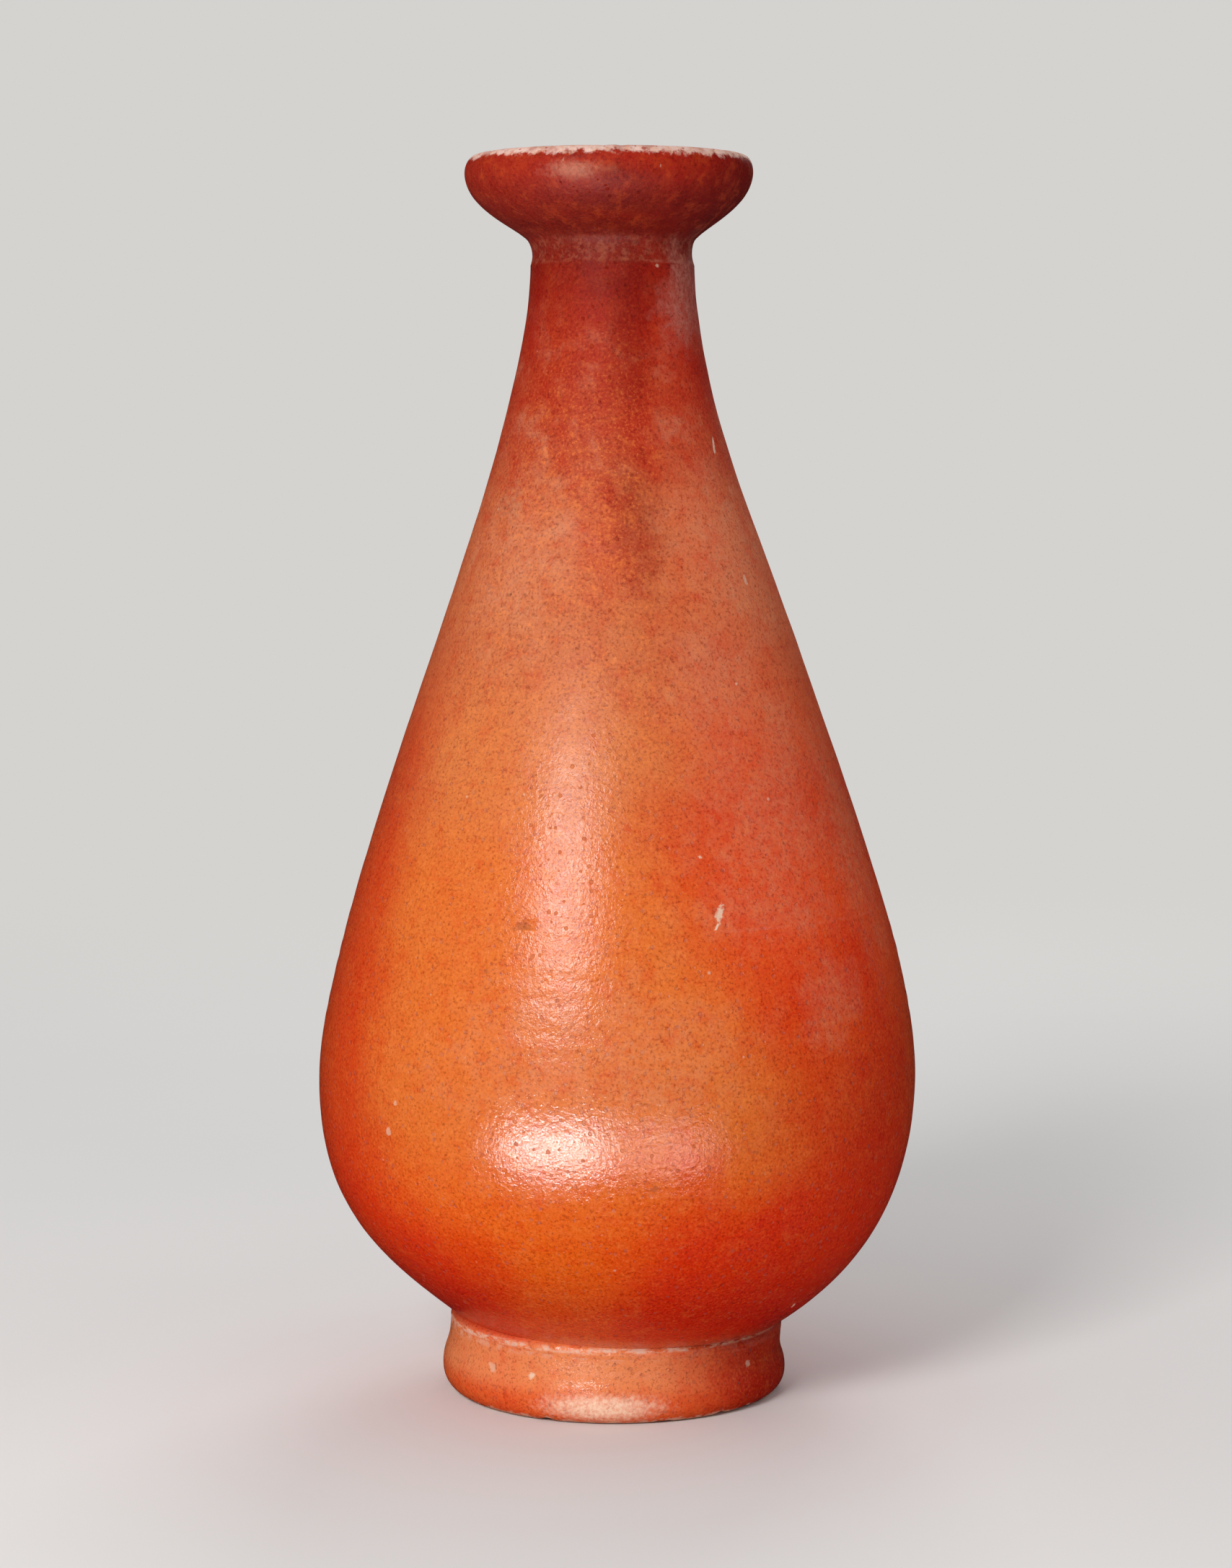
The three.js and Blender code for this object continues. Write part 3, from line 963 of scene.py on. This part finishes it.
def gloss_skin(paint, place, azimuth, height):
    """The gloss without its wear: colour, roughness, relief in millimetres, and how strongly it shines."""
    colour = gloss_colour(paint, place, azimuth, height)
    dots = speckles(paint, place, DOTS)
    holes = speckles(paint, place, HOLES)
    crumbs = speckles(paint, place, CRUMBS)
    colour = paint.tint(paint.times(dots, 0.35), colour, DARKER)
    colour = paint.mix(paint.times(holes, 0.6), colour, SOOT)
    colour = paint.mix(paint.times(crumbs, 0.35), colour, LIME)

    dull = paint.span(height, *DULL)
    rough = paint.span(paint.noise(place, SHEEN), 0.35, 0.65, 0.1, 0.19)
    rough = paint.add(rough, paint.times(paint.noise(place, FINE_SHEEN), 0.08))
    rough = paint.add(rough, paint.times(paint.add(dull, paint.span(height, *SILKY, 0, 0.2)), 0.3))
    rough = paint.add(rough, paint.times(paint.most([dots, holes]), 0.4))

    peel = paint.noise(place, PEEL)
    grit = paint.noise(place, GRIT)
    relief = paint.add(paint.times(peel, PEEL_HIGH), paint.times(grit, GRIT_HIGH))
    relief = paint.add(relief, paint.times(dots, -DOTS_DEEP))
    relief = paint.add(relief, paint.times(holes, -HOLES_DEEP))
    return colour, rough, relief, paint.span(dull, 0, 1, GLOSS_LEVEL, DULL_LEVEL)


def wear_mask(paint, place, height, broken):
    """Where rubbing took the gloss off: the lip's crest, the standing edge and beside the foot's joint."""
    crest = paint.span(paint.add(height, paint.times(broken, 0.8)), *CREST)
    nicks = paint.most([speckles(paint, place, LIP_NICKS), speckles(paint, place, SMALL_LIP_NICKS)])
    crest = paint.times(crest, paint.span(nicks, 0, 1, 1, 0.3))
    crest = paint.times(crest, paint.span(paint.noise(place, LIP_PATCHES), 0.35, 0.5, 0.6, 1))
    standing = paint.span(paint.add(height, paint.times(broken, -0.8)), *WORN_EDGE)
    joint = paint.span(paint.math("ABSOLUTE", paint.add(height, JOINT_BAND_BELOW - BASE)), *JOINT_BAND)
    gaps = paint.noise(place, JOINT_GAPS)
    joint = paint.times(joint, paint.span(gaps, 0.44, 0.6, 0, 0.5))
    return paint.most([crest, standing, joint])


def gloss_material():
    """Fired clay under a silky red gloss that is worn, pitted and uneven, with painted highlights at the
    front of the foot and the mouth.
    """
    paint = Paint(bpy.data.materials.new("red gloss on fired clay"))
    place, azimuth, height = clay_places(paint)
    colour, rough, relief, shine = gloss_skin(paint, place, azimuth, height)

    broken = paint.span(paint.noise(place, BROKEN_EDGE), 0.2, 0.8, -0.9, 0.9)
    worn = wear_mask(paint, place, height, broken)
    inner = paint.node("Attribute", attribute_name="inner").outputs["Fac"]
    drips = paint.noise(paint.scaled(place, RUN_DOWN), DRIPS)
    drip_end = paint.span(drips, 0.3, 0.7, *DRIP_ENDS)
    below_drips = paint.span(paint.math("SUBTRACT", drip_end, height), *DRIP_EDGE)
    bare = paint.times(inner, below_drips)

    ragged = paint.span(paint.noise(place, RAGGED_MARKS), 0.2, 0.8, -0.5, 0.5)
    pale = mark_masks(paint, place, PALE_MARKS, ragged, 0.3)
    faint = mark_masks(paint, place, FAINT_MARKS, ragged, 0.3)
    dark = mark_masks(paint, place, DARK_MARKS, ragged, 0.3)
    lime = speckles(paint, place, LIME_SPECKS)

    clay = paint.mix(paint.noise(place, CLAY_GRAIN), BARE_CLAY, PALE_CLAY)
    colour = paint.mix(paint.times(lime, 0.4), colour, LIME)
    colour = paint.mix(bare, colour, BARE_CLAY)
    lip = paint.span(height, *PALE_LIP)
    lip_grain = paint.span(paint.noise(place, LIP_GRAIN), 0.35, 0.6, 0.1, 0.8)
    clay = paint.mix(paint.times(lip, lip_grain), clay, LIP_CLAY)
    colour = paint.mix(paint.times(worn, 0.85), colour, clay)
    # Painted highlights: a pale bright patch at the front of the foot, and a fainter one on the mouth
    painted_highlights = mark_mask(paint, place, FOOT_HIGHLIGHT, paint.times(ragged, 0.6), 0.7)
    painted_highlights = paint.most([painted_highlights, paint.times(mark_mask(paint, place, MOUTH_HIGHLIGHT, ragged, 0.8), 0.13)])
    painted_highlights = paint.times(painted_highlights, paint.span(paint.noise(place, HIGHLIGHT_GRAIN), 0.3, 0.6, 0.5, 1.0))
    colour = paint.mix(painted_highlights, colour, PAINTED_HIGHLIGHT)
    colour = paint.mix(paint.times(dark, 0.32), colour, SOOT)
    colour = paint.mix(paint.times(faint, 0.4), colour, LIME)
    colour = paint.mix(paint.times(pale, 0.75), colour, LIME)

    matt = paint.most([worn, bare, pale, paint.times(dark, 0.7)])
    rough = paint.add(rough, paint.times(matt, 0.3))
    return finish_clay(paint, colour, rough, relief, paint.times(shine, paint.span(matt, 0, 0.6, 1, 0.3)))


def slip_material():
    """The slip that luted the pieces: lumpy clay round the foot, and nearly all under the gloss higher up."""
    paint = Paint(bpy.data.materials.new("luting slip, partly glossed"))
    place, azimuth, height = clay_places(paint)
    colour, rough, relief, shine = gloss_skin(paint, place, azimuth, height)
    lumps = paint.noise(paint.scaled(place, SMEARED_ROUND), SLIP_LUMPS)
    clay = paint.mix(paint.span(paint.noise(place, SLIP_GRAIN), 0.3, 0.6), FOOT_DUSTY, PALE_CLAY)
    at_foot = paint.span(height, *SLIP_AT_FOOT)
    at_right = paint.span(azimuth, *SLIP_RIGHT)
    from_top = paint.math("ABSOLUTE", paint.add(height, FILLET_TOP_BELOW - BASE))
    along_top = paint.span(from_top, *FILLET_TOP, 0.05, 0.9)
    share = paint.most([paint.times(at_foot, along_top), paint.times(at_right, SLIP_RIGHT_SHARE)])
    shows = paint.times(paint.span(lumps, 0.42, 0.56), share)
    colour = paint.mix(shows, colour, clay)
    crumbs = paint.times(speckles(paint, place, SLIP_CRUMBS), at_foot)
    colour = paint.tint(paint.times(crumbs, 0.3), colour, DARKER)
    rough = paint.add(rough, paint.times(shows, 0.3))
    relief = paint.add(relief, paint.times(paint.times(lumps, SLIP_LUMPS_HIGH), at_foot))
    return finish_clay(paint, colour, rough, relief, paint.times(shine, paint.span(shows, 0, 0.6, 1, 0.3)))


def finish_clay(paint, colour, rough, relief, shine):
    """Wires the surface: relief is in millimetres."""
    bump = paint.node("Bump", {"Strength": 1.0, "Distance": MM, "Height": relief})
    return paint.finish(paint.node("BsdfPrincipled", {
        "Base Color": colour, "Roughness": rough, "Normal": bump.outputs[0], "Specular IOR Level": shine,
    }))


# The stage

BACKGROUND = tone(0.66, 0.65, 0.63)
TABLE = tone(0.80, 0.79, 0.77)
SKY = tone(0.43, 0.43, 0.44)
VELVET = tone(0.03, 0.03, 0.03)
BLACK = tone(0, 0, 0)

# The table, and the distances between which it fades into the background
FLOOR_RADIUS = 4000
FLOOR_SIDES = 96
FLOOR_GAP = 0.02
FADE = (160, 800)

# Soft lamps that stand round the bottle and aim at its middle
Lamp = namedtuple("Lamp", "name azimuth elevation distance width height radiance")
LAMPS = [
    Lamp("key softbox", -24.5, 26, 900, 270, 260, 23.9),
    Lamp("back softbox", 168, 34, 1100, 520, 520, 4),
]
AIM_HEIGHT = 110

# Low cards of light that lie on the table in front, face up, which only the gloss shows
Card = namedtuple("Card", "name x y width depth turn radiance")
CARDS = [
    Card("low card", -76, -200, 126, 66, -20, 60),
    Card("low card right", 58, -200, 100, 66, 20, 13),
]
CARD_HEIGHT = 1.5

# The dark cloth all round, and the black flags: their near and far edges, their top and where they stand
VELVET_RADIUS = 1300
VELVET_SIDES = 48
VELVET_RINGS = 24
FLAG_FROM = 50
FLAG_TO = 150
FLAG_TOP = 80
FLAG_Y = -64


def seen_directly(paint):
    """1 for rays that show the background as it is: from the camera, and by reflection or through glass."""
    rays = paint.node("LightPath").outputs
    return paint.most([rays["Is Camera Ray"], rays["Is Glossy Ray"], rays["Is Transmission Ray"]])


def stage_piece(name, shape, material):
    """A mesh of the studio, which isn't part of the bottle."""
    mesh = bpy.data.meshes.new(name)
    shape.to_mesh(mesh)
    shape.free()
    mesh.materials.append(material)
    made = bpy.data.objects.new(name, mesh)
    bpy.context.scene.collection.objects.link(made)
    return made


def make_floor():
    """A pale table that fades into the background far away."""
    paint = Paint(bpy.data.materials.new("pale table"))
    place = surface_place(paint)
    radius = paint.length(paint.scaled(place, (1, 1, 0)))
    cast = paint.noise(place, TABLE_CAST)
    colour = paint.mix(paint.span(cast, 0.3, 0.7, 0, 0.06), TABLE, BACKGROUND)
    lit = paint.node("BsdfDiffuse", {"Color": colour})
    far = paint.node("Emission", {"Color": BACKGROUND, "Strength": 1.0})
    share = paint.times(paint.span(radius, *FADE), seen_directly(paint))
    both = paint.node("MixShader", {0: share, 1: lit.outputs[0], 2: far.outputs[0]})
    shape = bmesh.new()
    bmesh.ops.create_circle(shape, cap_ends=True, segments=FLOOR_SIDES, radius=FLOOR_RADIUS * MM)
    floor = stage_piece("table", shape, paint.finish(both))
    floor.location.z = -FLOOR_GAP * MM
    floor.visible_glossy = False


def make_world():
    """An even sky that lights the bottle, and the plain background behind it."""
    paint = Paint(bpy.data.worlds.new("studio"))
    fill = paint.node("Background", {"Color": SKY, "Strength": 1.0})
    shown = paint.node("Background", {"Color": BACKGROUND, "Strength": 1.0})
    both = paint.node("MixShader", {0: seen_directly(paint), 1: fill.outputs[0], 2: shown.outputs[0]})
    bpy.context.scene.world = paint.finish(both, "OutputWorld")


def add_lamp(name, width, height, radiance):
    """A rectangular lamp of that radiance: its power is pi times area times radiance."""
    data = bpy.data.lights.new(name, "AREA")
    data.shape = "RECTANGLE"
    data.size = width * MM
    data.size_y = height * MM
    data.energy = math.pi * data.size * data.size_y * radiance
    lamp = bpy.data.objects.new(name, data)
    bpy.context.scene.collection.objects.link(lamp)
    lamp.visible_camera = False
    return lamp


def make_lamps():
    for spec in LAMPS:
        lamp = add_lamp(spec.name, spec.width, spec.height, spec.radiance)
        azimuth = math.radians(spec.azimuth)
        level = math.cos(math.radians(spec.elevation)) * spec.distance
        rise = math.sin(math.radians(spec.elevation)) * spec.distance
        away = Vector((level * math.sin(azimuth), -level * math.cos(azimuth), rise))
        lamp.location = (away + Vector((0, 0, AIM_HEIGHT))) * MM
        lamp.rotation_euler = away.to_track_quat("Z", "Y").to_euler()
    for spec in CARDS:
        card = add_lamp(spec.name, spec.width, spec.depth, spec.radiance)
        card.location = Vector((spec.x, spec.y, CARD_HEIGHT)) * MM
        card.rotation_euler = (math.pi, 0, math.radians(spec.turn))
        card.visible_diffuse = False


def make_cloth(name, shape, colour):
    """A matt cloth of the studio that only the gloss shows."""
    paint = Paint(bpy.data.materials.new(name))
    cloth = stage_piece(name, shape, paint.finish(paint.node("BsdfDiffuse", {"Color": colour})))
    cloth.visible_camera = False
    cloth.visible_diffuse = False
    cloth.visible_transmission = False
    cloth.visible_shadow = False


def make_velvet():
    """A dark cloth all round, beyond the lamps, keeps the red deep."""
    shape = bmesh.new()
    sides = {"u_segments": VELVET_SIDES, "v_segments": VELVET_RINGS}
    bmesh.ops.create_uvsphere(shape, radius=VELVET_RADIUS * MM, **sides)
    make_cloth("dark velvet", shape, VELVET)


def make_flags():
    """Black flags beside the low cards keep their light off the edges of the belly."""
    for side in (-1, 1):
        shape = bmesh.new()
        corners = [(FLAG_FROM, 0), (FLAG_TO, 0), (FLAG_TO, FLAG_TOP), (FLAG_FROM, FLAG_TOP)]
        shape.faces.new([shape.verts.new(Vector((side * x, FLAG_Y, z)) * MM) for x, z in corners])
        make_cloth("black flag", shape, BLACK)


def make_camera():
    data = bpy.data.cameras.new("camera")
    data.sensor_width = SENSOR
    data.lens = LENS
    camera = bpy.data.objects.new("camera", data)
    camera.location = Vector((CAMERA_ACROSS, -CAMERA_DISTANCE, CAMERA_HEIGHT)) * MM
    camera.rotation_euler = (math.radians(90 - CAMERA_LOOKS_DOWN), 0, 0)
    bpy.context.scene.collection.objects.link(camera)
    bpy.context.scene.camera = camera


# Putting it together

make_camera()
SECTIONS = {piece.node: section(piece.node) for piece in PIECES}


def wall_radius(height):
    """The outside radius at a height, from the sections."""
    found = []
    for path, closed in SECTIONS.values():
        ends = path + path[:1] if closed else path
        for a, b in zip(ends, ends[1:]):
            low, high = sorted((a[1], b[1]))
            if low <= height <= high and high > low:
                found.append(a[0] + (b[0] - a[0]) * (height - a[1]) / (b[1] - a[1]))
    return max(found)


gloss = gloss_material()
slip = slip_material()
for piece in PIECES:
    made = build(piece)
    made.data.materials.append(slip if piece.slot == "slip_bed" else gloss)

make_floor()
make_world()
make_velvet()
make_lamps()
make_flags()
bpy.context.scene.view_settings.view_transform = "Standard"
